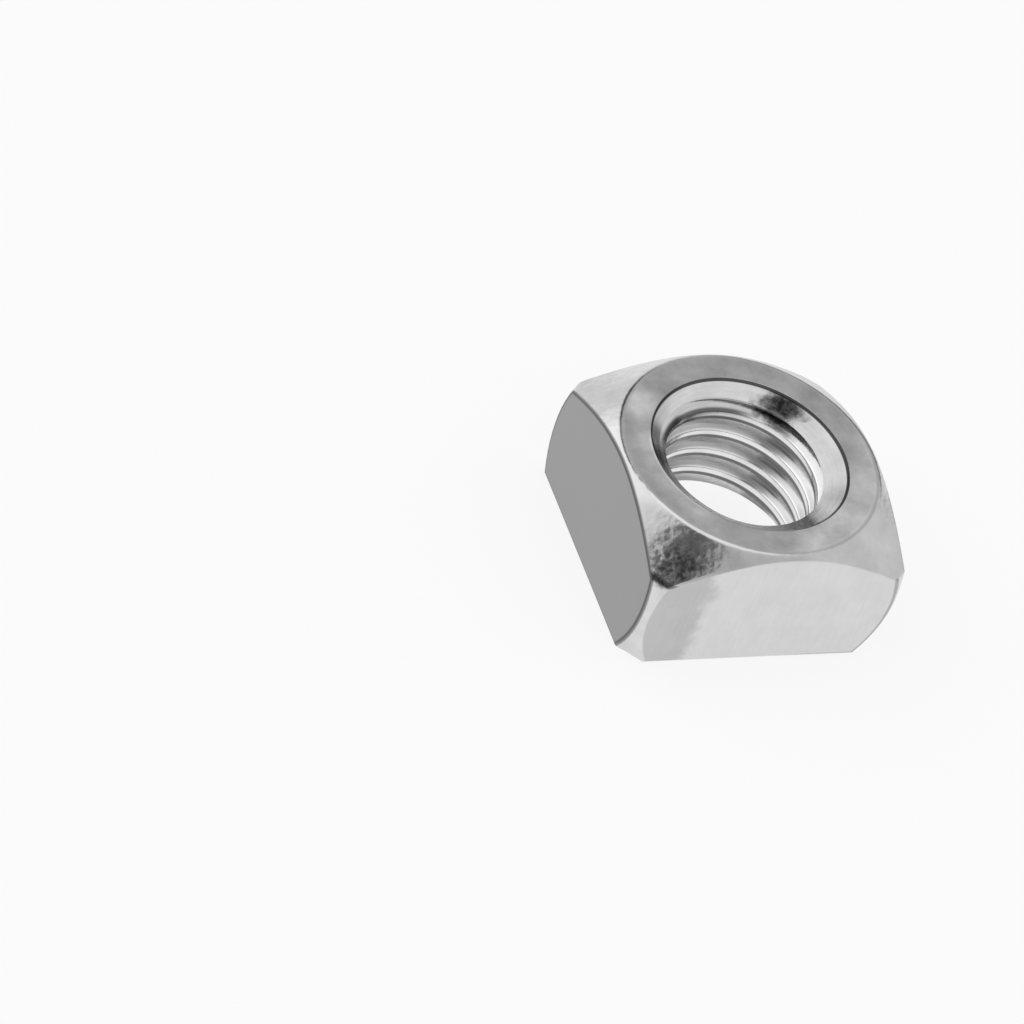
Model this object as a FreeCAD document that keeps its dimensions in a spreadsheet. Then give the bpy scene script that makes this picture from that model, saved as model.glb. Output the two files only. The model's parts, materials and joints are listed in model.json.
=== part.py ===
import FreeCAD, Part
import os
import Sketcher

# A square nut with a coarse metric thread, forged in one piece and tapped right through.
# The thread's axis is Z and the bearing face lies on Z = 0, so the nut lies as it would on
# a bench: flat on its bearing face, with the chamfered face up. Lengths are millimetres,
# angles are degrees, and a corner's setback is measured in from the square's sharp corner.

SIZES = (
    ("across_flats", 18.0, "one side to the opposite side"),
    ("thickness", 9.5, "bearing face to chamfered face"),
    ("foot_setback", 1.07, "corner at the bearing face"),
    ("belly_setback", 0.32, "corner where it stands out most, halfway up its side"),
    ("shoulder_setback", 0.6, "corner where the chamfer starts"),
    ("chamfer_angle", 36.5, "slope of the chamfer, against the bearing face"),
    ("ring_inset", 0.31, "rim of the flat ring on the chamfered face, in from the sides"),
    ("ring_edge_radius", 0.6, "rounding between the flat ring and the chamfer"),
    ("edge_radius", 0.25, "rounding of the forged edges"),
    ("thread_diameter", 12.0, "nominal, at the roots of this inside thread"),
    ("thread_depth", 0.75, "root to crest, so the hole before tapping is smaller by two"),
    ("thread_pitch", 1.75, "climb of one turn"),
    ("thread_lead_in", 2.555, "start of the groove, below the bearing face and over +X"),
    ("top_countersink_margin", 0.65, "rim in the chamfered face, outside the thread's roots"),
    ("foot_countersink_margin", 0.8, "rim in the bearing face, outside the thread's roots"),
    ("countersink_angle", 110.0, "both countersinks, wall to opposite wall"),
)

# What no size of the nut depends on: the cutting outlines run this far past its surface, and
# the metric thread has flanks at 30 degrees and a root flat of an eighth of its pitch.
MARGIN = "1"
GROOVE_MARGIN = "0.15"
FLANK = "30"
ROOT_HALF = "sizes.thread_pitch / 16"

# Places that several outlines share, each a rule on the sizes.
TOP = "sizes.thickness"
SIDE = "sizes.across_flats / 2"
SHARP_CORNER = "sizes.across_flats / sqrt(2)"
SHOULDER = f"({SHARP_CORNER} - sizes.shoulder_setback)"
RING_RIM = f"({SIDE} - sizes.ring_inset)"
ROOT = "sizes.thread_diameter / 2"
HOLE = f"({ROOT} - sizes.thread_depth)"

# A feature that changes the nut by less than this, in cubic millimetres, has done nothing.
NOTICEABLE = 0.01


def make_sheet(doc):
    """Put each size on a row of its own, with its meaning beside it."""
    sheet = doc.addObject("Spreadsheet::Sheet", "sizes")
    for row, (name, value, meaning) in enumerate(SIZES, start=1):
        sheet.set(f"A{row}", str(value))
        sheet.setAlias(f"A{row}", name)
        sheet.set(f"B{row}", meaning)
    doc.recompute()


def sketch_on(body, role, name):
    """Add a sketch on one of the body's own origin planes."""
    sketch = body.newObject("Sketcher::SketchObject", name)
    plane = next(item for item in body.Origin.OriginFeatures if item.Role == role)
    sketch.AttachmentSupport = [(plane, "")]
    sketch.MapMode = "FlatFace"
    return sketch


def spot(sketch, place):
    """Work out a pair of rules as a point of the sketch."""
    across, up = (float(sketch.evalExpression(rule)) for rule in place)
    return FreeCAD.Vector(across, up, 0)


def hold(sketch, side, end, place):
    """Hold a point of the sketch at the place that a pair of rules gives."""
    now = spot(sketch, place)
    for kind, value, rule in zip(("DistanceX", "DistanceY"), now, place):
        index = sketch.addConstraint(Sketcher.Constraint(kind, side, end, value))
        sketch.setExpression(f"Constraints[{index}]", rule)


def end_at(sketch, side, place):
    """Say which end of a side lies at a point: 1 is its start and 2 is its finish."""
    return min((1, 2), key=lambda end: sketch.getPoint(side, end).distanceToPoint(place))


def draw_outline(sketch, corners, bulges=None):
    """Draw a closed outline through its corners, each a pair of rules.

    A side is straight, or an arc through the place that bulges gives for its first corner.
    """
    bulges = bulges or {}
    spots = [spot(sketch, place) for place in corners]
    sides = []
    for index, start in enumerate(spots):
        finish = spots[(index + 1) % len(spots)]
        if index in bulges:
            line = Part.Arc(start, spot(sketch, bulges[index]), finish)
        else:
            line = Part.LineSegment(start, finish)
        sides.append(sketch.addGeometry(line, False))
    for index, place in enumerate(spots):
        side, before = sides[index], sides[index - 1]
        start, finish = end_at(sketch, side, place), end_at(sketch, before, place)
        sketch.addConstraint(Sketcher.Constraint("Coincident", before, finish, side, start))
        hold(sketch, side, start, corners[index])
    for index, place in bulges.items():
        point = sketch.addGeometry(Part.Point(spot(sketch, place)), True)
        hold(sketch, point, 1, place)
        sketch.addConstraint(Sketcher.Constraint("PointOnObject", point, 1, sides[index]))


def turn_away(body, name, corners, bulges=None):
    """Cut away what an outline sweeps in one full turn about the thread's axis."""
    sketch = sketch_on(body, "XZ_Plane", f"{name}_outline")
    draw_outline(sketch, corners, bulges)
    groove = body.newObject("PartDesign::Groove", name)
    groove.Profile = sketch
    groove.ReferenceAxis = (sketch, ["V_Axis"])
    groove.Angle = 360


def make_blank(body):
    """The square block that the nut is forged from."""
    sketch = sketch_on(body, "XY_Plane", "blank_outline")
    draw_outline(sketch, (
        (f"-{SIDE}", f"-{SIDE}"),
        (SIDE, f"-{SIDE}"),
        (SIDE, SIDE),
        (f"-{SIDE}", SIDE),
    ))
    blank = body.newObject("PartDesign::Pad", "blank")
    blank.Profile = sketch
    blank.setExpression("Length", TOP)


def make_corners(body):
    """Bellied corners, the chamfer above them and the soft rim of the flat ring.

    A corner's side is one arc from the bearing face to its shoulder, through its belly.
    """
    slope = "sizes.chamfer_angle"
    round_off = "sizes.ring_edge_radius"
    foot = f"{SHARP_CORNER} - sizes.foot_setback"
    belly = f"{SHARP_CORNER} - sizes.belly_setback"
    shoulder_up = f"{TOP} - ({SHOULDER} - {RING_RIM}) * tan({slope})"
    tangent = f"{round_off} * tan({slope} / 2)"
    ring = f"{RING_RIM} - {tangent}"
    rim_middle = f"{ring} + {round_off} * sin({slope} / 2)"
    rim_middle_up = f"{TOP} - {round_off} * (1 - cos({slope} / 2))"
    turn_away(body, "corners", (
        (foot, "0"),
        (SHOULDER, shoulder_up),
        (f"{RING_RIM} + {tangent} * cos({slope})", f"{TOP} - {tangent} * sin({slope})"),
        (ring, TOP),
        (ring, f"{TOP} + {MARGIN}"),
        (f"{SHARP_CORNER} + {MARGIN}", f"{TOP} + {MARGIN}"),
        (f"{SHARP_CORNER} + {MARGIN}", f"-{MARGIN}"),
        (foot, f"-{MARGIN}"),
    ), {
        0: (belly, f"({shoulder_up}) / 2"),
        2: (rim_middle, rim_middle_up),
    })


def make_soft_edges(body):
    """Round the edges that reach past the sides' middles, so all but those of the flat ring."""
    forged = body.Tip
    side = float(forged.evalExpression(SIDE))
    outer = [
        f"Edge{number}" for number, edge in enumerate(forged.Shape.Edges, start=1)
        if max(vertex.Point.projectToPlane(FreeCAD.Vector(), FreeCAD.Vector(0, 0, 1)).Length
               for vertex in edge.Vertexes) > side + NOTICEABLE
    ]
    fillet = body.newObject("PartDesign::Fillet", "soft_edges")
    fillet.Base = (forged, outer)
    fillet.setExpression("Radius", "sizes.edge_radius")


def make_hole(body):
    """The hole that the thread is tapped in, with a countersink at each end."""
    steepness = "tan(sizes.countersink_angle / 2)"
    foot_rim = f"({ROOT} + sizes.foot_countersink_margin)"
    top_rim = f"({ROOT} + sizes.top_countersink_margin)"
    turn_away(body, "hole", (
        ("0", f"-{MARGIN}"),
        (foot_rim, f"-{MARGIN}"),
        (foot_rim, "0"),
        (HOLE, f"({foot_rim} - {HOLE}) / {steepness}"),
        (HOLE, f"{TOP} - ({top_rim} - {HOLE}) / {steepness}"),
        (top_rim, TOP),
        (top_rim, f"{TOP} + {MARGIN}"),
        ("0", f"{TOP} + {MARGIN}"),
    ))


def make_thread(body):
    """The right-hand thread: one groove that climbs through the hole and out of both ends."""
    mouth = f"({HOLE} - {GROOVE_MARGIN})"
    mouth_half = f"({ROOT_HALF} + ({ROOT} - {mouth}) * tan({FLANK}))"
    start = "-sizes.thread_lead_in"
    sketch = sketch_on(body, "XZ_Plane", "thread_outline")
    draw_outline(sketch, (
        (mouth, f"{start} - {mouth_half}"),
        (ROOT, f"{start} - {ROOT_HALF}"),
        (ROOT, f"{start} + {ROOT_HALF}"),
        (mouth, f"{start} + {mouth_half}"),
    ))
    thread = body.newObject("PartDesign::SubtractiveHelix", "thread")
    thread.Profile = sketch
    thread.ReferenceAxis = (sketch, ["V_Axis"])
    thread.Mode = "pitch-height-angle"
    thread.LeftHanded = False
    thread.Reversed = False
    thread.setExpression("Pitch", "sizes.thread_pitch")
    thread.setExpression("Height", f"sizes.thread_lead_in + {TOP} + sizes.thread_pitch")


def main():
    doc = FreeCAD.newDocument("square_nut")
    make_sheet(doc)
    body = doc.addObject("PartDesign::Body", "square_nut")
    body.Label = "square_nut"
    volume = 0
    for make in (make_blank, make_corners, make_soft_edges, make_hole, make_thread):
        make(body)
        doc.recompute()
        for item in doc.Objects:
            if "Invalid" in item.State or "Error" in item.State:
                raise RuntimeError(f"{make.__name__}: {item.Name} can't be built")
        nut = body.Shape
        if nut.isNull() or not nut.isValid() or len(nut.Solids) != 1:
            raise RuntimeError(f"{make.__name__}: the nut isn't one sound solid")
        if abs(nut.Volume - volume) < NOTICEABLE:
            raise RuntimeError(f"{make.__name__}: nothing has changed")
        volume = nut.Volume
    os.makedirs("parts", exist_ok=True)
    body.Shape.exportStep(f"parts/{body.Label}.step")


main()
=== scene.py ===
import json
from math import ceil, cos, pi, radians, sin, sqrt, tan
from types import SimpleNamespace

import bpy
from bpy.props import FloatProperty, FloatVectorProperty, IntProperty, PointerProperty
from bpy.types import Operator, Panel, PropertyGroup
from mathutils import Matrix, Vector


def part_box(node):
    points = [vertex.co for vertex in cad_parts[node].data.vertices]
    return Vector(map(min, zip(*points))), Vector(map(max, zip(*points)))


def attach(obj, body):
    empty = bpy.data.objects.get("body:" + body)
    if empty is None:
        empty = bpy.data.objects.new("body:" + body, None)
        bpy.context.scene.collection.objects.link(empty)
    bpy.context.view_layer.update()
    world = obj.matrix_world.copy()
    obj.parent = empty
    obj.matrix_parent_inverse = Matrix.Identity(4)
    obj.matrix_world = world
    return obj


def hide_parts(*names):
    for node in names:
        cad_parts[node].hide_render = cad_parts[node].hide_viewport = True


# A square nut: a forged block with a turned chamfer on its top face and a coarse right-hand
# thread tapped right through it. It lies on its bearing face, with the thread's axis on Z.

bl_info = {
    "name": "Square Nut",
    "version": (1, 0, 0),
    "blender": (4, 5, 0),
    "location": "3D View > Sidebar > Nut",
    "description": "Models a tapped square nut and a small studio to look at it in",
    "category": "Add Mesh",
}

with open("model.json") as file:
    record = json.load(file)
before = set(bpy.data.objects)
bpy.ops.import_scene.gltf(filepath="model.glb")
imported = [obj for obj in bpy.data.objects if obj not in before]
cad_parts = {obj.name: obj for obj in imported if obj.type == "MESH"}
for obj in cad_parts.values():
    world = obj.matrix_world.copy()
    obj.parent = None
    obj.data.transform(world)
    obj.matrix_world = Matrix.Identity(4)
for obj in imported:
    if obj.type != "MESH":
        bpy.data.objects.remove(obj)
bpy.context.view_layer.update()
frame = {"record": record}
NODE = "square_nut"
LOW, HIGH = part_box(NODE)
THREAD = next(mount for mount in frame["record"]["mounts"] if mount["name"] == "thread")
MM = 0.001


def length(name, description, default):
    """A length in metres that the user can change."""
    return FloatProperty(name=name, description=description, default=default, min=0,
                         precision=5, unit="LENGTH")


def slope(name, description, degrees):
    """A slope that the user can change."""
    return FloatProperty(name=name, description=description, default=radians(degrees),
                         min=0, max=pi / 2, subtype="ANGLE")


def share(name, description, default, most=1.0):
    """A plain number that the user can change."""
    return FloatProperty(name=name, description=description, default=default, min=0, max=most)


def colour(name, description, *default):
    """A colour that the user can change."""
    return FloatVectorProperty(name=name, description=description, default=default,
                               subtype="COLOR", size=3, min=0, max=1)


class NutSizes(PropertyGroup):
    """What the nut measures. A setback is measured in from the square's sharp corner."""

    across_flats: length("Across Flats", "One side to the opposite side", HIGH.x - LOW.x)
    thickness: length("Thickness", "Bearing face to chamfered face", HIGH.z - LOW.z)
    foot_setback: length("Foot Setback", "Corner at the bearing face", 1.07 * MM)
    belly_setback: length("Belly Setback", "Corner halfway up its side", 0.32 * MM)
    shoulder_setback: length("Shoulder Setback", "Corner where the chamfer starts", 0.6 * MM)
    chamfer_slope: slope("Chamfer Slope", "Chamfer, against the bearing face", 36.5)
    ring_inset: length("Ring Inset", "Rim of the flat ring, in from the sides", 0.31 * MM)
    ring_softness: length("Ring Rounding", "Between the flat ring and the chamfer", 0.6 * MM)
    drawn_edge: length("Drawn Edge", "Reach of the crisp rounding round the two X sides",
                       0.15 * MM)
    sheared_edge: length("Sheared Edge", "Reach of the soft rounding round the two Y sides",
                         0.18 * MM)
    corner_edge: length("Corner Edge", "Reach of the rounding at a corner's shoulder and foot",
                        0.15 * MM)
    mouth_softness: length("Mouth Rounding", "Diameter of the rounding at a countersink's rim",
                           0.2 * MM)
    mouth_step: length("Mouth Step", "Height of the steep wall just inside a rim", 0.12 * MM)
    mouth_slope: slope("Mouth Slope", "Countersinks, against the bearing face", 35)
    top_mouth: length("Top Mouth", "Rim of the countersink, outside the roots", 0.65 * MM)
    foot_mouth: length("Foot Mouth", "Rim of the lower countersink, outside the roots", 0.8 * MM)
    crest_radius: length("Crest Radius", "Hole that the thread is tapped in",
                         THREAD["dims"]["r_mm"] * MM)
    crest_softness: length("Crest Rounding", "Upper edge of a crest", 0.1 * MM)
    groove_softness: length("Groove Rounding", "The groove's other edges", 0.08 * MM)
    thread_depth: length("Thread Depth", "Crest to root", 0.75 * MM)
    thread_pitch: length("Thread Pitch", "Climb of one turn", 1.75 * MM)
    thread_lead_in: length("Lead-in", "Start of the groove, below the bearing face", 2.555 * MM)
    turned_steps: IntProperty(name="Turned Steps", description="Steps round the turned blank",
                              default=96, min=48, max=720)
    thread_steps: IntProperty(name="Thread Steps", description="Steps in one turn of the thread",
                              default=120, min=24, max=360)


class SteelLook(PropertyGroup):
    """How the bright steel looks."""

    tone: colour("Tone", "Colour of the steel", 0.62, 0.62, 0.62)
    roughness: share("Roughness", "Blur of what the skin reflects", 0.2)


class StudioLook(PropertyGroup):
    """What stands round the nut."""

    floor_tone: colour("Floor", "Colour of the floor", 0.9, 0.9, 0.9)
    floor_glow: share("Floor Whiteness", "How white the floor looks and mirrors", 0.85)
    sky: share("Sky", "Brightness of the tent round the nut", 0.8, 4.0)
    key_power: FloatProperty(name="Key Power", description="Power of the key light", default=0.13,
                             min=0, unit="POWER")


# Modelling. One unit is a millimetre until the nut is finished, because bevels and cuts this
# small lose their sharpness in metres. Outlines are (radius, height) points.

TOUCHING = 0.0005
STEP_LEAN = radians(25)
SMOOTH_BELOW = radians(28)

# A metric thread's flanks lean by 30 degrees, and its root is flat for an eighth of its pitch.
ROOT_FLAT = 1 / 8
FLANK = pi / 6

# How many steps each rounding or straight run of an outline has.
CORNER_RUNGS = 10
RING_RUNGS = 6
RIM_RUNGS = 4
STEP_RUNGS = 3
WALL_RUNGS = 6
GROOVE_RUNGS = 4
EDGE_RUNGS = 4


def in_millimetres(group):
    """The group's lengths in millimetres, with its other numbers as they are."""
    values = SimpleNamespace()
    for name, prop in group.bl_rna.properties.items():
        if prop.type in ("FLOAT", "INT"):
            scale = 1 / MM if prop.unit == "LENGTH" else 1
            setattr(values, name, getattr(group, name) * scale)
    return values


def sweep(middle, start, finish, steps):
    """Points of the arc round a middle, with both its ends."""
    first, last = start - middle, finish - middle
    return [middle + first.slerp(last, step / steps) * first.length for step in range(steps + 1)]


def rounded(before, corner, after, radius, steps):
    """Points of the arc that rounds one corner of an outline."""
    before, corner, after = Vector(before), Vector(corner), Vector(after)
    arriving = (corner - before).normalized()
    leaving = (after - corner).normalized()
    half_turn = arriving.angle(leaving) / 2
    reach = radius * tan(half_turn)
    middle = corner + (leaving - arriving).normalized() * (radius / cos(half_turn))
    return sweep(middle, corner - arriving * reach, corner + leaving * reach, steps)


def run(start, finish, steps):
    """Points of a straight run, without its start."""
    start, finish = Vector(start), Vector(finish)
    return [start.lerp(finish, step / steps) for step in range(1, steps + 1)]


def middle_of_arc(start, bulge, finish):
    """The middle of the circle through three points."""
    (ax, ay), (bx, by), (cx, cy) = start, bulge, finish
    twice = 2 * (ax * (by - cy) + bx * (cy - ay) + cx * (ay - by))
    a, b, c = ax * ax + ay * ay, bx * bx + by * by, cx * cx + cy * cy
    return Vector(((a * (by - cy) + b * (cy - ay) + c * (ay - by)) / twice,
                   (a * (cx - bx) + b * (ax - cx) + c * (bx - ax)) / twice))


def corner_points(mm):
    """The foot, belly and shoulder of a corner, which lie on one arc."""
    corner = mm.across_flats / sqrt(2)
    shoulder = corner - mm.shoulder_setback
    ring = mm.across_flats / 2 - mm.ring_inset
    height = mm.thickness - (shoulder - ring) * tan(mm.chamfer_slope)
    return (Vector((corner - mm.foot_setback, 0)),
            Vector((corner - mm.belly_setback, height / 2)),
            Vector((shoulder, height)))


def select_none():
    """Leave every object unselected, and no mesh in edit mode."""
    if bpy.context.mode != "OBJECT":
        bpy.ops.object.mode_set(mode="OBJECT")
    bpy.ops.object.select_all(action="DESELECT")


def select_edges(mesh, wanted):
    """In edit mode, select only the edges whose two ends a test picks."""
    bpy.ops.mesh.select_mode(type="EDGE")
    bpy.ops.mesh.select_all(action="DESELECT")
    bpy.ops.object.mode_set(mode="OBJECT")
    for edge in mesh.edges:
        edge.select = wanted([mesh.vertices[end].co for end in edge.vertices])
    bpy.ops.object.mode_set(mode="EDIT")


def select_points(mesh, wanted):
    """In edit mode, select only the points that a test picks."""
    bpy.ops.mesh.select_mode(type="VERT")
    bpy.ops.mesh.select_all(action="DESELECT")
    bpy.ops.object.mode_set(mode="OBJECT")
    for point in mesh.vertices:
        point.select = wanted(point.co)
    bpy.ops.object.mode_set(mode="EDIT")


def trim(place, normal):
    """In edit mode, cut off what lies past a plane and close the cut."""
    bpy.ops.mesh.select_all(action="SELECT")
    bpy.ops.mesh.bisect(plane_co=place, plane_no=normal, use_fill=True, clear_outer=True,
                        threshold=TOUCHING)


def apply_modifier(piece, kind, **settings):
    """Add a modifier to a piece and apply it."""
    bpy.context.view_layer.objects.active = piece
    modifier = piece.modifiers.new(kind.title(), kind)
    for name, value in settings.items():
        setattr(modifier, name, value)
    bpy.ops.object.modifier_apply(modifier=modifier.name)


def blank_outline(mm):
    """Section of the turned blank, from its foot up over the chamfer and down the hole.

    The hole stays narrower than the thread's crests, so that the tap cuts all of its wall.
    """
    top = mm.thickness
    ring = (mm.across_flats / 2 - mm.ring_inset, top)
    foot, belly, shoulder = corner_points(mm)
    root = mm.crest_radius + mm.thread_depth
    core = mm.crest_radius - mm.thread_depth / 2
    top_rim = (root + mm.top_mouth, top)
    foot_rim = (root + mm.foot_mouth, 0)
    lean = mm.mouth_step * tan(STEP_LEAN)
    top_step = (top_rim[0] - lean, top - mm.mouth_step)
    foot_step = (foot_rim[0] - lean, mm.mouth_step)
    top_core = (core, top_step[1] - (top_step[0] - core) * tan(mm.mouth_slope))
    foot_core = (core, foot_step[1] + (foot_step[0] - core) * tan(mm.mouth_slope))
    softness = mm.mouth_softness / 2
    return [
        *sweep(middle_of_arc(foot, belly, shoulder), foot, shoulder, CORNER_RUNGS),
        *rounded(shoulder, ring, top_rim, mm.ring_softness, RING_RUNGS),
        *rounded(ring, top_rim, top_step, softness, RIM_RUNGS),
        *rounded(top_rim, top_step, top_core, softness, STEP_RUNGS),
        *run(top_step, top_core, WALL_RUNGS),
        *run(foot_step, foot_core, WALL_RUNGS)[::-1],
        *rounded(foot_core, foot_step, foot_rim, softness, STEP_RUNGS),
        *rounded(foot_step, foot_rim, foot, softness, RIM_RUNGS),
    ]


def turn_blank(mm):
    """Turn the blank on the thread's axis, each ring extruded from the one before it."""
    select_none()
    outline = blank_outline(mm)
    radius, height = outline[0]
    bpy.ops.mesh.primitive_circle_add(vertices=mm.turned_steps, radius=radius,
                                      location=(0, 0, height))
    blank = bpy.context.object
    bpy.ops.object.transform_apply(location=True)
    bpy.ops.object.mode_set(mode="EDIT")
    bpy.ops.mesh.select_mode(type="VERT")
    bpy.ops.mesh.select_all(action="SELECT")
    for next_radius, next_height in outline[1:] + outline[:1]:
        grow = next_radius / radius
        bpy.ops.mesh.extrude_edges_move()
        bpy.ops.transform.translate(value=(0, 0, next_height - height))
        bpy.ops.transform.resize(value=(grow, grow, 1), center_override=(0, 0, next_height))
        radius, height = next_radius, next_height
    bpy.ops.mesh.select_all(action="SELECT")
    bpy.ops.mesh.remove_doubles(threshold=TOUCHING)
    bpy.ops.mesh.normals_make_consistent(inside=False)
    bpy.ops.object.mode_set(mode="OBJECT")
    return blank


def shear_sides(blank, mm):
    """Shear the blank square.

    The barrel's upright edges that a side would cut at a slant are dissolved first, all but
    the one in the middle of each corner, and the points that they leave are dissolved last.
    """
    side = mm.across_flats / 2
    foot, _, shoulder = corner_points(mm)
    barrel = foot.x

    def slanting(ends):
        upright = abs(ends[0].z - ends[1].z) > TOUCHING
        outside = min(end.xy.length for end in ends) > barrel - TOUCHING
        aside = abs(abs(ends[0].x) - abs(ends[0].y)) > TOUCHING
        return upright and outside and aside

    def stray(point):
        inside = side - max(abs(point.x), abs(point.y)) > TOUCHING
        aside = abs(abs(point.x) - abs(point.y)) > TOUCHING
        outside = point.xy.length > barrel
        return inside and aside and outside and TOUCHING < point.z < shoulder.y - TOUCHING

    bpy.ops.object.mode_set(mode="EDIT")
    select_edges(blank.data, slanting)
    bpy.ops.mesh.dissolve_edges(use_verts=False)
    for normal in ((1, 0, 0), (0, 1, 0), (-1, 0, 0), (0, -1, 0)):
        trim(Vector(normal) * side, normal)
    select_points(blank.data, stray)
    bpy.ops.mesh.dissolve_verts()
    bpy.ops.object.mode_set(mode="OBJECT")


def soften_edges(blank, mm):
    """Round the blank's outer edges, the crisp ones less than the soft ones.

    An edge's bevel weight is its reach as a share of the widest. The operator adds to a weight,
    so each starts from none.
    """
    side = mm.across_flats / 2
    foot, _, shoulder = corner_points(mm)

    def on_sides(axis):
        return lambda ends: min(abs(end[axis]) for end in ends) > side - TOUCHING

    def corner_arc(ends):
        level = abs(ends[0].z - ends[1].z) < TOUCHING
        outside = min(end.xy.length for end in ends) > foot.x - TOUCHING
        at_end = min(abs(ends[0].z), abs(ends[0].z - shoulder.y)) < TOUCHING
        return level and outside and at_end

    reaches = (
        (corner_arc, mm.corner_edge),
        (on_sides(1), mm.sheared_edge),
        (on_sides(0), mm.drawn_edge),
    )
    widest = max(reach for _, reach in reaches)
    bpy.ops.object.mode_set(mode="EDIT")
    for wanted, reach in reaches:
        select_edges(blank.data, wanted)
        bpy.ops.transform.edge_bevelweight(value=-1)
        bpy.ops.transform.edge_bevelweight(value=reach / widest)
    bpy.ops.object.mode_set(mode="OBJECT")
    apply_modifier(blank, "BEVEL", width=widest, segments=EDGE_RUNGS, limit_method="WEIGHT",
                   use_clamp_overlap=False)


def groove_outline(mm):
    """Section of the tapped groove over one pitch, from crest to crest."""
    crest = mm.crest_radius
    root = crest + mm.thread_depth
    half_pitch = mm.thread_pitch / 2
    half_root = mm.thread_pitch * ROOT_FLAT / 2
    half_mouth = half_root + mm.thread_depth * tan(FLANK)
    path = [(crest, -half_pitch), (crest, -half_mouth), (root, -half_root),
            (root, half_root), (crest, half_mouth), (crest, half_pitch)]
    corners = zip(path, path[1:], path[2:])
    softness = (mm.crest_softness, *[mm.groove_softness] * 3)
    arcs = [rounded(*corner, radius, GROOVE_RUNGS) for corner, radius in zip(corners, softness)]
    return [Vector(path[0]), *(point for arc in arcs for point in arc), Vector(path[-1])]


def cut_tap(mm):
    """The solid that the tap takes out: a rod with the right-hand thread standing on it.

    A plane merged to one point starts its outline, which is drawn point by point.
    """
    select_none()
    outline = groove_outline(mm)
    start = -mm.thread_lead_in - mm.thread_pitch
    run_out = mm.thickness + mm.thread_pitch
    bpy.ops.mesh.primitive_plane_add(size=1)
    tap = bpy.context.object
    bpy.ops.object.mode_set(mode="EDIT")
    bpy.ops.mesh.select_mode(type="VERT")
    bpy.ops.mesh.select_all(action="SELECT")
    bpy.ops.mesh.merge(type="CENTER")
    bpy.ops.transform.translate(value=(outline[0].x, 0, outline[0].y + start))
    for point, next_point in zip(outline, outline[1:]):
        step = next_point - point
        bpy.ops.mesh.extrude_vertices_move(TRANSFORM_OT_translate={"value": (step.x, 0, step.y)})
    bpy.ops.object.mode_set(mode="OBJECT")
    apply_modifier(tap, "SCREW", axis="Z", screw_offset=mm.thread_pitch,
                   iterations=ceil((run_out - start) / mm.thread_pitch) + 1,
                   steps=mm.thread_steps, render_steps=mm.thread_steps,
                   use_merge_vertices=True, merge_threshold=TOUCHING)
    bpy.ops.object.mode_set(mode="EDIT")
    bpy.ops.mesh.select_all(action="SELECT")
    bpy.ops.mesh.remove_doubles(threshold=TOUCHING)
    trim((0, 0, -mm.thread_pitch), (0, 0, -1))
    trim((0, 0, run_out), (0, 0, 1))
    bpy.ops.mesh.select_all(action="SELECT")
    bpy.ops.mesh.normals_make_consistent(inside=False)
    bpy.ops.object.mode_set(mode="OBJECT")
    return tap


def tap_thread(blank, mm):
    """Tap the thread right through the blank."""
    tap = cut_tap(mm)
    select_none()
    apply_modifier(blank, "BOOLEAN", operation="DIFFERENCE", object=tap, solver="EXACT")
    bpy.data.objects.remove(tap)


def finish_mesh(nut):
    """Bring the nut down to its real size and smooth what isn't an edge."""
    select_none()
    nut.select_set(True)
    nut.scale = (MM, MM, MM)
    bpy.ops.object.transform_apply(scale=True)
    bpy.ops.object.shade_smooth_by_angle(angle=SMOOTH_BELOW)
    apply_modifier(nut, "WEIGHTED_NORMAL", keep_sharp=True)


# Finishes. A mask is 1 on what it names and 0 off it, and a mark is a mask with how much it
# lightens the steel there; many marks are painted light and shade. All distances are in
# millimetres. A bearing is an angle round the thread's axis, in degrees from +X as seen from
# above, so the corner next to the camera is at 225.

BLEND_BEARING = -37
BLEND_INSET = 0.56
BRIGHT_END_BEARING = 15
ROOT_SHADE_BEARING = 35
SINK_DARK_BEARING = 49
SINK_DARK_RADIUS = 6.0
SINK_DARK_LEAN = 0.12
SINK_DARK_HALF_WIDTH = 1.95
SINK_DARK_HALF_DEPTH = 0.55
FIRST_TURN_BEARING = 110
RUN_OUT_BEARING = 140
SHADED_SINK_BEARING = 180
LIGHTER_RING_BEARING = 194
LIGHT_PATCH_PLACE = (-6.3, 4.6)
DARK_PATCH_BEARING = 222
DARK_PATCH_SIDE_BEARING = 318
DARK_PATCH_SIDE_SHIFT = 0.15
DARK_PATCH_TIP_HEIGHT = 7.08

# A side meets the corners' barrel at a slant, so a distance in from it is this much longer.
BARREL_SLANT = 1.4
BUMP_DEPTH = 0.03


class Wire:
    """A socket that Python's arithmetic works on: each operator adds its Math node."""

    def __init__(self, net, socket):
        self.net = net
        self.socket = socket

    def maths(self, operation, *terms):
        """Add a Math node that works on these terms."""
        return self.net.node("ShaderNodeMath", {"operation": operation}, dict(enumerate(terms)))

    def __abs__(self):
        return self.maths("ABSOLUTE", self)

    def __neg__(self):
        return self.maths("MULTIPLY", self, -1)

    def __add__(self, other):
        return self.maths("ADD", self, other)

    def __sub__(self, other):
        return self.maths("SUBTRACT", self, other)

    def __rsub__(self, other):
        return self.maths("SUBTRACT", other, self)

    def __mul__(self, other):
        return self.maths("MULTIPLY", self, other)

    def __truediv__(self, other):
        return self.maths("DIVIDE", self, other)

    def __pow__(self, other):
        return self.maths("POWER", self, other)

    __radd__ = __add__
    __rmul__ = __mul__

    def least(self, other):
        """The smaller of two values."""
        return self.maths("MINIMUM", self, other)

    def angle(self, along):
        """The angle of a point, from its distance off an axis and its distance along it."""
        return self.maths("ARCTAN2", self, along)

    def fraction(self):
        """What is left of a value past its whole number."""
        return self.maths("FRACT", self)


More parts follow.
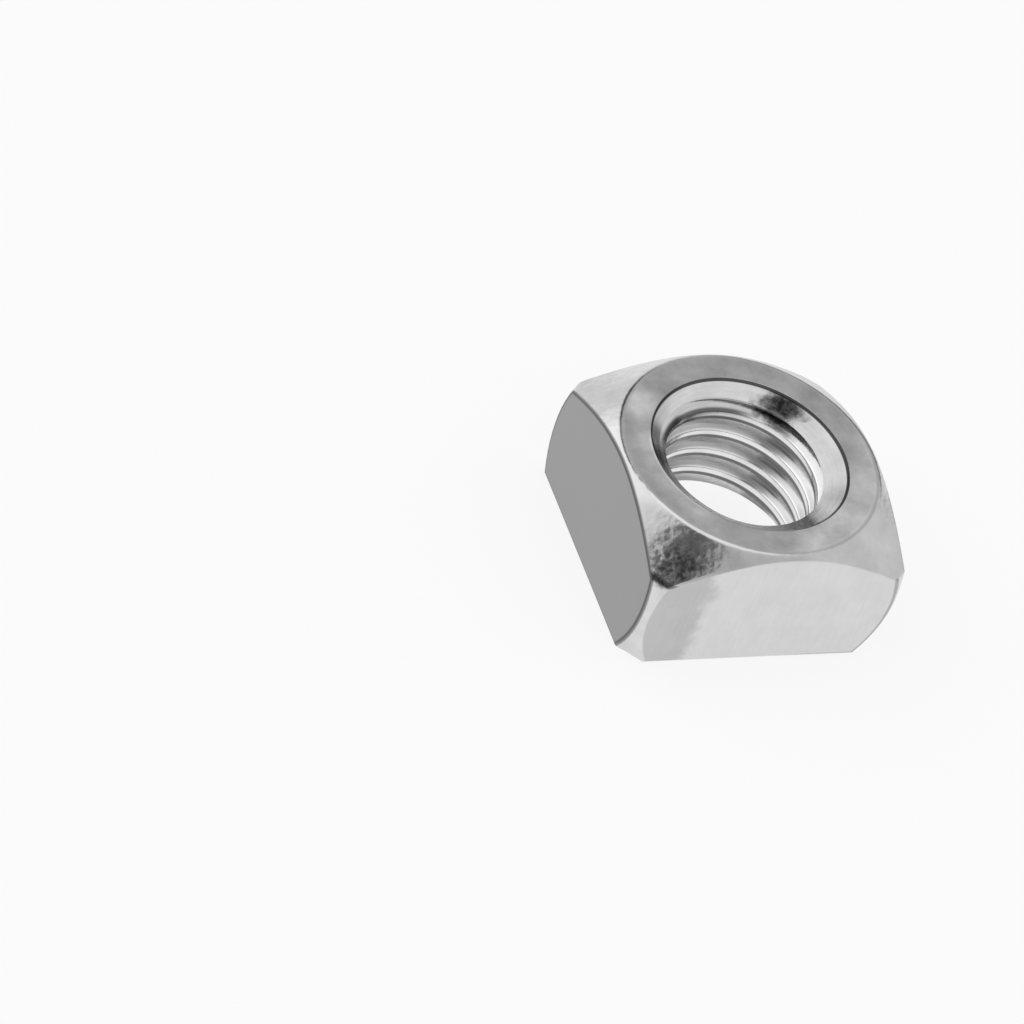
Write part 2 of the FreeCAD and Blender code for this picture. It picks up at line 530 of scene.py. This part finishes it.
class Net:
    """The nodes of one material or world."""

    def __init__(self, owner):
        owner.use_nodes = True
        self.tree = owner.node_tree
        self.tree.nodes.clear()

    def node(self, kind, settings=None, values=None, output=0):
        """Add a node: its settings come first, then its sockets' values or links."""
        node = self.tree.nodes.new(kind)
        for name, value in (settings or {}).items():
            setattr(node, name, value)
        for name, value in (values or {}).items():
            if isinstance(value, Wire):
                self.tree.links.new(value.socket, node.inputs[name])
            else:
                node.inputs[name].default_value = value
        return Wire(self, node.outputs[output])

    def end(self, kind, **values):
        """Add the output node."""
        node = self.tree.nodes.new(kind)
        for name, wire in values.items():
            self.tree.links.new(wire.socket, node.inputs[name])

    def axes(self, place):
        """The three parts of a place."""
        first = self.node("ShaderNodeSeparateXYZ", None, {0: place})
        return [Wire(self, socket) for socket in first.socket.node.outputs]

    def scaled(self, vector, factor):
        """A vector or colour times a number."""
        return self.node("ShaderNodeVectorMath", {"operation": "SCALE"},
                         {0: vector, "Scale": factor})

    def stretched(self, place, scale):
        """A place whose axes are scaled apart."""
        return self.node("ShaderNodeMapping", None, {"Vector": place, "Scale": scale})

    def noise(self, place, scale, detail=2.0, roughness=0.5):
        """Soft lumps, from 0 to 1 with 0.5 as their middle."""
        return self.node("ShaderNodeTexNoise", None, {
            "Vector": place, "Scale": scale, "Detail": detail, "Roughness": roughness})

    def rising(self, value, low, high):
        """0 below low and 1 above high, with a soft change between them."""
        return self.node("ShaderNodeMapRange", {"interpolation_type": "SMOOTHSTEP"},
                         {"Value": value, "From Min": low, "From Max": high})

    def falling(self, value, low, high):
        """1 below low and 0 above high, with a soft change between them."""
        return 1 - self.rising(value, low, high)

    def band(self, value, rise, fall):
        """1 between two soft changes, each given by its low and high value, and 0 past them."""
        return self.rising(value, *rise) * self.falling(value, *fall)


def rgba(tone):
    """A colour with its alpha."""
    return (*tone, 1.0)


def read_place(net, mm):
    """Where the steel is on the nut, and how far in it is from the nut's edges.

    Its climb is 0 in the middle of the thread's groove and 0.5 in the middle of a crest.
    """
    at = SimpleNamespace()
    at.place = net.scaled(net.node("ShaderNodeTexCoord", output="Object"), 1 / MM)
    at.x, at.y, at.z = net.axes(at.place)
    at.radius = (at.x * at.x + at.y * at.y) ** 0.5
    at.side = mm.across_flats / 2
    at.from_x_side = at.side - abs(at.x)
    at.from_y_side = at.side - abs(at.y)
    from_ring = at.side - mm.ring_inset - at.radius
    at.under_chamfer = from_ring * tan(mm.chamfer_slope) + mm.thickness - at.z
    at.mouth = mm.crest_radius + mm.thread_depth + mm.top_mouth
    from_mouth = at.mouth - at.radius
    at.under_mouth = mm.thickness - mm.mouth_step - from_mouth * tan(mm.mouth_slope) - at.z
    foot, belly, shoulder = corner_points(mm)
    middle = middle_of_arc(foot, belly, shoulder)
    across, up = at.radius - middle.x, at.z - middle.y
    in_barrel = (foot - middle).length - (across * across + up * up) ** 0.5
    at.from_barrel = in_barrel * BARREL_SLANT
    turn = at.y.angle(at.x) / (2 * pi)
    at.climb = ((at.z + mm.thread_lead_in) / mm.thread_pitch - turn).fraction()
    return at


def along(at, bearing):
    """How far out the steel is from the thread's axis, towards a bearing."""
    return at.x * cos(radians(bearing)) + at.y * sin(radians(bearing))


def facing(at, bearing):
    """1 where the steel lies straight out at a bearing, 0 abreast of it and -1 opposite."""
    return along(at, bearing) / at.radius


def draw_patterns(net, at):
    """The uneven patterns of the steel: lumps and clouds, and the streaks that tools left.

    The turned streaks change fast along the radius and slowly round the axis.
    """
    at.lumps = net.noise(at.place, 1.5, 1.5, 0.55)
    at.fine = net.noise(at.place, 8, 2)
    at.clouds = net.noise(at.place, 0.5, 4, 0.6)
    at.streaks = net.noise(net.stretched(at.place, (5, 5, 0.35)), 1, 3, 0.6)
    at.turned = net.noise(net.node("ShaderNodeCombineXYZ", None, {
        0: at.radius * 7, 1: at.x * 0.25, 2: at.y * 0.25}), 1, 3, 0.6)
    at.speckle = net.rising(net.noise(at.place, 2.4, 3, 0.6), 0.36, 0.64)


def mask_faces(net, at, mm):
    """A mask for each kind of face, and for the parts of the hole."""
    at.drawn = net.falling(at.from_x_side, 0.02, 0.08)
    at.sheared = net.falling(at.from_y_side, 0.0, 0.05)
    outside = net.rising(at.radius, at.mouth - 0.02, at.mouth + 0.02)
    at.bored = 1 - outside
    at.forged = net.rising(at.radius, at.side - 0.6, at.side) * (1 - at.drawn) * (1 - at.sheared)
    at.ring = outside * net.falling(at.radius, at.side - 0.7, at.side - 0.4)
    at.sunk = at.bored * net.falling(at.under_mouth, 0.02, 0.1)
    at.tapped = at.bored * net.rising(at.under_mouth, 0.1, 0.3)
    off_crest = net.rising(at.radius, mm.crest_radius + 0.05, mm.crest_radius + 0.15)
    at.crest = at.tapped * (1 - off_crest)
    at.flank = at.bored * off_crest * net.rising(at.under_mouth, 1.2, 1.8)


def face_marks(net, at):
    """How the tone of each face differs from the plain steel, painted light and shade included."""
    mottle = at.clouds - 0.5
    # Painted shade: the sheared sides darker towards their -X ends.
    shaded_front_end = at.sheared * net.falling(at.x + mottle * 3, -5.6, -4.2)
    # Painted light and shade on the forged skin: darker right and front, lighter at the back.
    slope_right = at.forged * net.rising(at.x + at.y, 7.0, 11.0)
    slope_front = at.forged * net.band(at.x - at.y, (2.0, 5.0), (8.0, 12.0))
    slope_back = at.forged * net.rising(at.y - at.x, 8.0, 14.0)
    # Painted shade on the chamfer of the corner next to the camera.
    near_corner = net.rising(at.z, 7.0, 7.8) * net.rising(-at.x - at.y, 11.5, 12.5)
    return (
        (mottle, at.ring * 0.5 - at.drawn * 0.4 - at.sheared * 0.25 + 0.45),
        # Painted shade: the drawn sides darker.
        (at.drawn, -0.45),
        # The sheared sides' streaks, and painted light that makes those sides lighter.
        (at.sheared, (at.streaks - 0.5) * 0.12 + 0.1),
        (shaded_front_end, -0.23),
        (slope_right, -0.3),
        (slope_front, -0.16),
        (slope_back, 0.12),
        (at.forged * near_corner, -0.18),
        # Painted light: the corners lighter below their shoulders.
        (at.forged * net.falling(at.z, 6.6, 7.0), 0.1),
        # The hole's turned streaks, and painted light that makes the hole lighter.
        (at.bored, (at.turned - 0.5) * 0.35 + 0.08),
        # Painted light and shade: the countersink lighter at back and front, darker at its sides.
        (at.sunk, net.rising(abs(at.x), 2.8, 5.6) * -0.36 + 0.14),
        # Painted shade: the countersink darkest towards -X.
        (at.sunk * net.rising(facing(at, SHADED_SINK_BEARING), 0.8, 0.99), -0.5),
    )


def edge_marks(net, at, mm):
    """The fine lines along the edges, painted dark reflections and painted light among them."""
    upright_rim = at.z.least(at.from_barrel)
    rim = net.falling(upright_rim.least(at.under_chamfer), 0.1, 0.22)
    # Painted dark reflections along the rounded edges of the drawn and sheared sides.
    drawn_rim = rim * net.falling(at.from_x_side, 0.08, 0.16)
    sheared_rim = (net.falling(at.from_y_side, 0.14, 0.22) * net.rising(at.x, 1.0, 5.0)
                   * net.falling(upright_rim, 0.12, 0.24))
    # Painted light on the ring's rounded edge at the front-right.
    ring_blend = (net.falling(abs(at.radius - at.side + BLEND_INSET), 0.05, 0.16)
                  * net.rising(facing(at, BLEND_BEARING), 0.5, 0.8))
    mouth_rim = (net.falling(abs(at.radius - at.mouth + 0.05), 0.06, 0.1)
                 * net.rising(at.z, mm.thickness - 0.3, mm.thickness - 0.2))
    return (
        (drawn_rim, -0.6),
        (sheared_rim, -0.4),
        (ring_blend, 0.1),
        (mouth_rim, -0.88),
    )


def thread_marks(net, at, mm):
    """Painted light and shade on the thread's flanks and crests, and along its first turn."""
    deep = net.rising(at.radius, mm.crest_radius + 0.2, mm.crest_radius + 0.65)
    bright_end = at.flank * net.rising(facing(at, BRIGHT_END_BEARING), 0.955, 0.99)
    crest_shadow = at.crest * net.falling(at.climb, 0.44, 0.5)
    first = at.tapped * net.falling(at.under_mouth, 1.2, 1.6)
    first_turn = first * net.rising(facing(at, FIRST_TURN_BEARING), 0.6, 0.85)
    first_edge = first_turn * net.band(at.climb, (0.64, 0.68), (0.74, 0.8))
    run_out_shadow = (first * net.band(at.climb, (0.5, 0.56), (0.76, 0.84))
                      * net.rising(facing(at, RUN_OUT_BEARING), 0.929, 0.979))
    return (
        # Painted light: flanks lighter towards the roots and at one end; painted highlight on the
        # crests.
        (at.flank, deep * 0.65 - 0.08),
        (bright_end, 0.2),
        (at.crest, 0.25),
        # Painted shadow under each crest and along the start of the first turn.
        (crest_shadow, -0.8),
        (first_turn * at.crest, -0.3),
        (first_edge, -0.75),
        (run_out_shadow, -0.7),
    )


def dark_marks(net, at):
    """A painted dark reflection in the countersink, painted shade in the groove, a dark corner
    patch.
    """
    # Painted dark reflection: a speckled dark blot in the countersink at the back-right.
    beside = along(at, SINK_DARK_BEARING - 90)
    beyond = at.radius - SINK_DARK_RADIUS - beside * SINK_DARK_LEAN
    across = beside / SINK_DARK_HALF_WIDTH
    down = beyond / SINK_DARK_HALF_DEPTH
    from_sink_dark = (across * across + down * down) ** 0.5 + (at.lumps - 0.5) * 1.1
    sink_dark_reflection = (at.bored * net.falling(from_sink_dark, 0.6, 1.1) * net.rising(at.x + at.y, 0.0, 1.0)
                  * net.rising(at.z, 7.5, 7.9))
    # Painted shade deep in the groove under each crest on the back-right, broken by turned streaks.
    root_shade = (at.tapped * net.band(at.climb, (0.8, 0.85), (0.94, 0.98))
                  * net.rising(facing(at, ROOT_SHADE_BEARING), 0.964, 0.994)
                  * (net.rising(at.turned, 0.35, 0.6) * 0.6 + 0.4))
    # A dark speckled patch on the chamfer of the corner next to the camera, with a dark line along
    # its shoulder.
    aside = abs(along(at, DARK_PATCH_SIDE_BEARING) - DARK_PATCH_SIDE_SHIFT)
    on_corner = (at.forged * net.falling(aside, 1.2, 3.0)
                 * net.rising(along(at, DARK_PATCH_BEARING), 9.0, 10.4))
    scale = on_corner * net.rising(at.z, 6.6, 7.0) * net.rising(at.from_y_side, 0.1, 0.35)
    dark_patch_tip = on_corner * net.falling(abs(at.z - DARK_PATCH_TIP_HEIGHT), 0.06, 0.2)
    return (
        (sink_dark_reflection, at.speckle * 0.3 - 0.88),
        (root_shade, -0.8),
        (scale, at.speckle * 0.7 - 0.67),
        (dark_patch_tip, -0.6),
    )


def ring_marks(net, at):
    """The ring: painted light at the front-right, a painted rim highlight, lighter at the left and
    back-left.
    """
    x, y = LIGHT_PATCH_PLACE
    from_light_patch = ((at.x - x) ** 2 + (at.y - y) ** 2) ** 0.5
    lighter_ring_side = facing(at, LIGHTER_RING_BEARING)
    # Lighter towards the left of the ring.
    lighter_ring = net.rising(lighter_ring_side, 0.72, 0.95) * net.falling(at.radius, 7.1, 8.2)
    # Painted highlight along the countersink's rounded rim at the left.
    rim_highlight = (net.rising(lighter_ring_side, 0.8, 0.94)
            * net.band(at.radius, (at.mouth + 0.02, at.mouth + 0.06),
                       (at.mouth + 0.14, at.mouth + 0.22)))
    # Painted light: the ring lighter towards the front-right.
    bright_side = net.rising(at.x - at.y, 6.0, 10.0)
    # A lighter patch on the ring at the back-left.
    light_patch = net.falling(from_light_patch, 0.6, 2.2)
    return (
        (at.ring, bright_side * 0.4 + light_patch * 0.5 - 0.1),
        (at.ring * (lighter_ring + rim_highlight), 0.3),
    )


def steel_finish(look, mm):
    """Bright plated steel: a forged skin, two drawn sides, two sheared ones and turned faces."""
    steel = bpy.data.materials.new("bright_steel_finish")
    net = Net(steel)
    at = read_place(net, mm)
    draw_patterns(net, at)
    mask_faces(net, at, mm)
    # Many of the marks below paint light and shade into the steel's tone.
    shade = 1
    for marks in (face_marks(net, at), edge_marks(net, at, mm), thread_marks(net, at, mm),
                  dark_marks(net, at), ring_marks(net, at)):
        for mask, lightening in marks:
            shade = shade * (1 + mask * lightening)
    height = (at.lumps * (at.forged * 1.3 + at.bored * 0.3 + at.ring * 0.15)
              + at.turned * (at.bored * 0.25 + at.ring * 0.1)
              + at.fine * 0.1 + at.streaks * at.sheared * 0.1)
    roughness = (look.roughness + at.drawn * 0.15 - at.bored * 0.04 + at.flank * 0.14
                 + (at.clouds - 0.5) * 0.1)
    shader = net.node("ShaderNodeBsdfPrincipled", None, {
        "Base Color": net.scaled(look.tone, shade),
        "Metallic": 1.0,
        "Roughness": roughness,
        "Normal": net.node("ShaderNodeBump", None, {
            "Height": height, "Distance": BUMP_DEPTH * MM, "Strength": 1.0}),
    })
    net.end("ShaderNodeOutputMaterial", Surface=shader)
    return steel


class SQUARE_NUT_OT_add_nut(Operator):
    """Model the tapped square nut and give it its bright steel finish"""

    bl_idname = "square_nut.add_nut"
    bl_label = "Add Square Nut"
    bl_options = {"REGISTER", "UNDO"}

    def execute(self, context):
        mm = in_millimetres(context.scene.nut_sizes)
        nut = turn_blank(mm)
        nut.name = nut.data.name = "tapped_square_nut"
        shear_sides(nut, mm)
        soften_edges(nut, mm)
        tap_thread(nut, mm)
        finish_mesh(nut)
        nut.data.materials.clear()
        nut.data.materials.append(steel_finish(context.scene.steel_look, mm))
        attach(nut, "root")
        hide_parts(NODE)
        return {"FINISHED"}


# Studio, in metres. The camera looks down on one corner, and is rolled as the photograph is.
# An azimuth is 0 at -Y and a quarter turn at +X.

CAMERA_AZIMUTH = radians(-37.15)
CAMERA_ELEVATION = radians(42.53)
CAMERA_DISTANCE = 0.3249
CAMERA_ROLL = radians(25.13)
CAMERA_YAW = radians(2.20)
CAMERA_PITCH = radians(0.47)
FOCAL_PIXELS = 5000
FRAME_PIXELS = 1024
SENSOR_MM = 36.0
KEY_AZIMUTH = radians(150)
KEY_ELEVATION = radians(77)
KEY_DISTANCE = 0.5
KEY_SIZE = 0.34
FLOOR_SIZE = 6.0
FLOOR_GAP = 0.005 * MM
WHITE = (1.0, 1.0, 1.0)

# Parts of the tent that are brighter or darker than the rest: the way to each from the nut,
# the angles from its middle to where it starts to fade and to where it ends, and how bright
# it is.
TENT = (
    ((-0.55, 0.5, 0.6), 25, 45, 1.25),
    ((0.45, 0.6, 0.66), 12, 28, 0.55),
    ((0.14, 0.83, 0.54), 7, 14, 0.02),
    ((-0.03, 0.62, 0.785), 5, 11, 0.02),
    ((0.75, 0.66, 0.05), 12, 25, 0.2),
    ((-0.33, -0.27, 0.905), 9, 14, 0.12),
    ((-0.46, -0.5, 0.73), 6, 12, 0.05),
)


def towards(azimuth, elevation):
    """The way to something at an azimuth and an elevation."""
    return Vector((sin(azimuth) * cos(elevation), -cos(azimuth) * cos(elevation), sin(elevation)))


def add_camera():
    """The camera, where the photograph was taken from."""
    back = towards(CAMERA_AZIMUTH, CAMERA_ELEVATION)
    right = Vector((0, 0, 1)).cross(back).normalized()
    look = Matrix((right, back.cross(right), back)).transposed()
    turn = (Matrix.Rotation(CAMERA_ROLL, 3, "Z") @ Matrix.Rotation(CAMERA_YAW, 3, "Y")
            @ Matrix.Rotation(CAMERA_PITCH, 3, "X"))
    bpy.ops.object.camera_add()
    camera = bpy.context.object
    camera.matrix_world = Matrix.Translation(back * CAMERA_DISTANCE) @ (look @ turn).to_4x4()
    camera.data.sensor_width = SENSOR_MM
    camera.data.lens = FOCAL_PIXELS * SENSOR_MM / FRAME_PIXELS
    bpy.context.scene.camera = camera


def add_floor(look):
    """A plain pale floor just under the bearing face."""
    bpy.ops.mesh.primitive_plane_add(size=FLOOR_SIZE, location=(0, 0, -FLOOR_GAP))
    floor = bpy.context.object
    floor.name = floor.data.name = "studio_floor"
    finish = bpy.data.materials.new("pale_floor")
    net = Net(finish)
    lit = net.node("ShaderNodeBsdfDiffuse", None, {"Color": rgba(look.floor_tone)})
    white = net.node("ShaderNodeEmission", None, {"Color": rgba(WHITE), "Strength": 1})
    rays = [net.node("ShaderNodeLightPath", output=f"Is {kind} Ray")
            for kind in ("Camera", "Glossy", "Transmission")]
    shader = net.node("ShaderNodeMixShader", None, {
        0: sum(rays) * look.floor_glow, 1: lit, 2: white})
    net.end("ShaderNodeOutputMaterial", Surface=shader)
    floor.data.materials.append(finish)


def add_key(look):
    """A soft key light nearly overhead and a little behind the nut, for a short shadow in front."""
    way = towards(KEY_AZIMUTH, KEY_ELEVATION)
    bpy.ops.object.light_add(type="AREA", location=way * KEY_DISTANCE)
    key = bpy.context.object
    key.data.shape = "DISK"
    key.data.size = KEY_SIZE
    key.data.energy = look.key_power
    key.rotation_euler = way.to_track_quat("Z", "Y").to_euler()


def add_tent(look):
    """A soft light tent, brighter and darker in places, that lights the nut from all round."""
    world = bpy.data.worlds.new("light_tent")
    net = Net(world)
    way = net.node("ShaderNodeTexCoord", output="Generated")
    light = look.sky
    for aim, inner, outer, level in TENT:
        nearness = net.node("ShaderNodeVectorMath", {"operation": "DOT_PRODUCT"},
                            {0: way, 1: Vector(aim).normalized()}, output="Value")
        part = net.rising(nearness, cos(radians(outer)), cos(radians(inner)))
        light = part * (level - light) + light
    net.end("ShaderNodeOutputWorld", Surface=net.node("ShaderNodeBackground", None, {
        "Color": rgba(WHITE), "Strength": light}))
    bpy.context.scene.world = world


class SQUARE_NUT_OT_add_studio(Operator):
    """Set up the pale floor, the soft light and the camera"""

    bl_idname = "square_nut.add_studio"
    bl_label = "Add Studio"
    bl_options = {"REGISTER", "UNDO"}

    def execute(self, context):
        select_none()
        look = context.scene.studio_look
        add_floor(look)
        add_key(look)
        add_tent(look)
        add_camera()
        context.scene.view_settings.view_transform = "Standard"
        return {"FINISHED"}


class SQUARE_NUT_PT_sidebar(Panel):
    """The nut's sizes and looks, with a button for each step"""

    bl_label = "Square Nut"
    bl_idname = "SQUARE_NUT_PT_sidebar"
    bl_space_type = "VIEW_3D"
    bl_region_type = "UI"
    bl_category = "Nut"

    def draw(self, context):
        groups = (
            (context.scene.nut_sizes, "square_nut.add_nut"),
            (context.scene.steel_look, None),
            (context.scene.studio_look, "square_nut.add_studio"),
        )
        for group, step in groups:
            box = self.layout.box()
            for name in group.__annotations__:
                box.prop(group, name)
            if step:
                box.operator(step)


CLASSES = (NutSizes, SteelLook, StudioLook, SQUARE_NUT_OT_add_nut, SQUARE_NUT_OT_add_studio,
           SQUARE_NUT_PT_sidebar)


def register():
    for item in CLASSES:
        bpy.utils.register_class(item)
    bpy.types.Scene.nut_sizes = PointerProperty(type=NutSizes)
    bpy.types.Scene.steel_look = PointerProperty(type=SteelLook)
    bpy.types.Scene.studio_look = PointerProperty(type=StudioLook)


def unregister():
    del bpy.types.Scene.studio_look
    del bpy.types.Scene.steel_look
    del bpy.types.Scene.nut_sizes
    for item in reversed(CLASSES):
        bpy.utils.unregister_class(item)


def main():
    register()
    bpy.ops.square_nut.add_nut()
    bpy.ops.square_nut.add_studio()


if __name__ == "__main__":
    main()
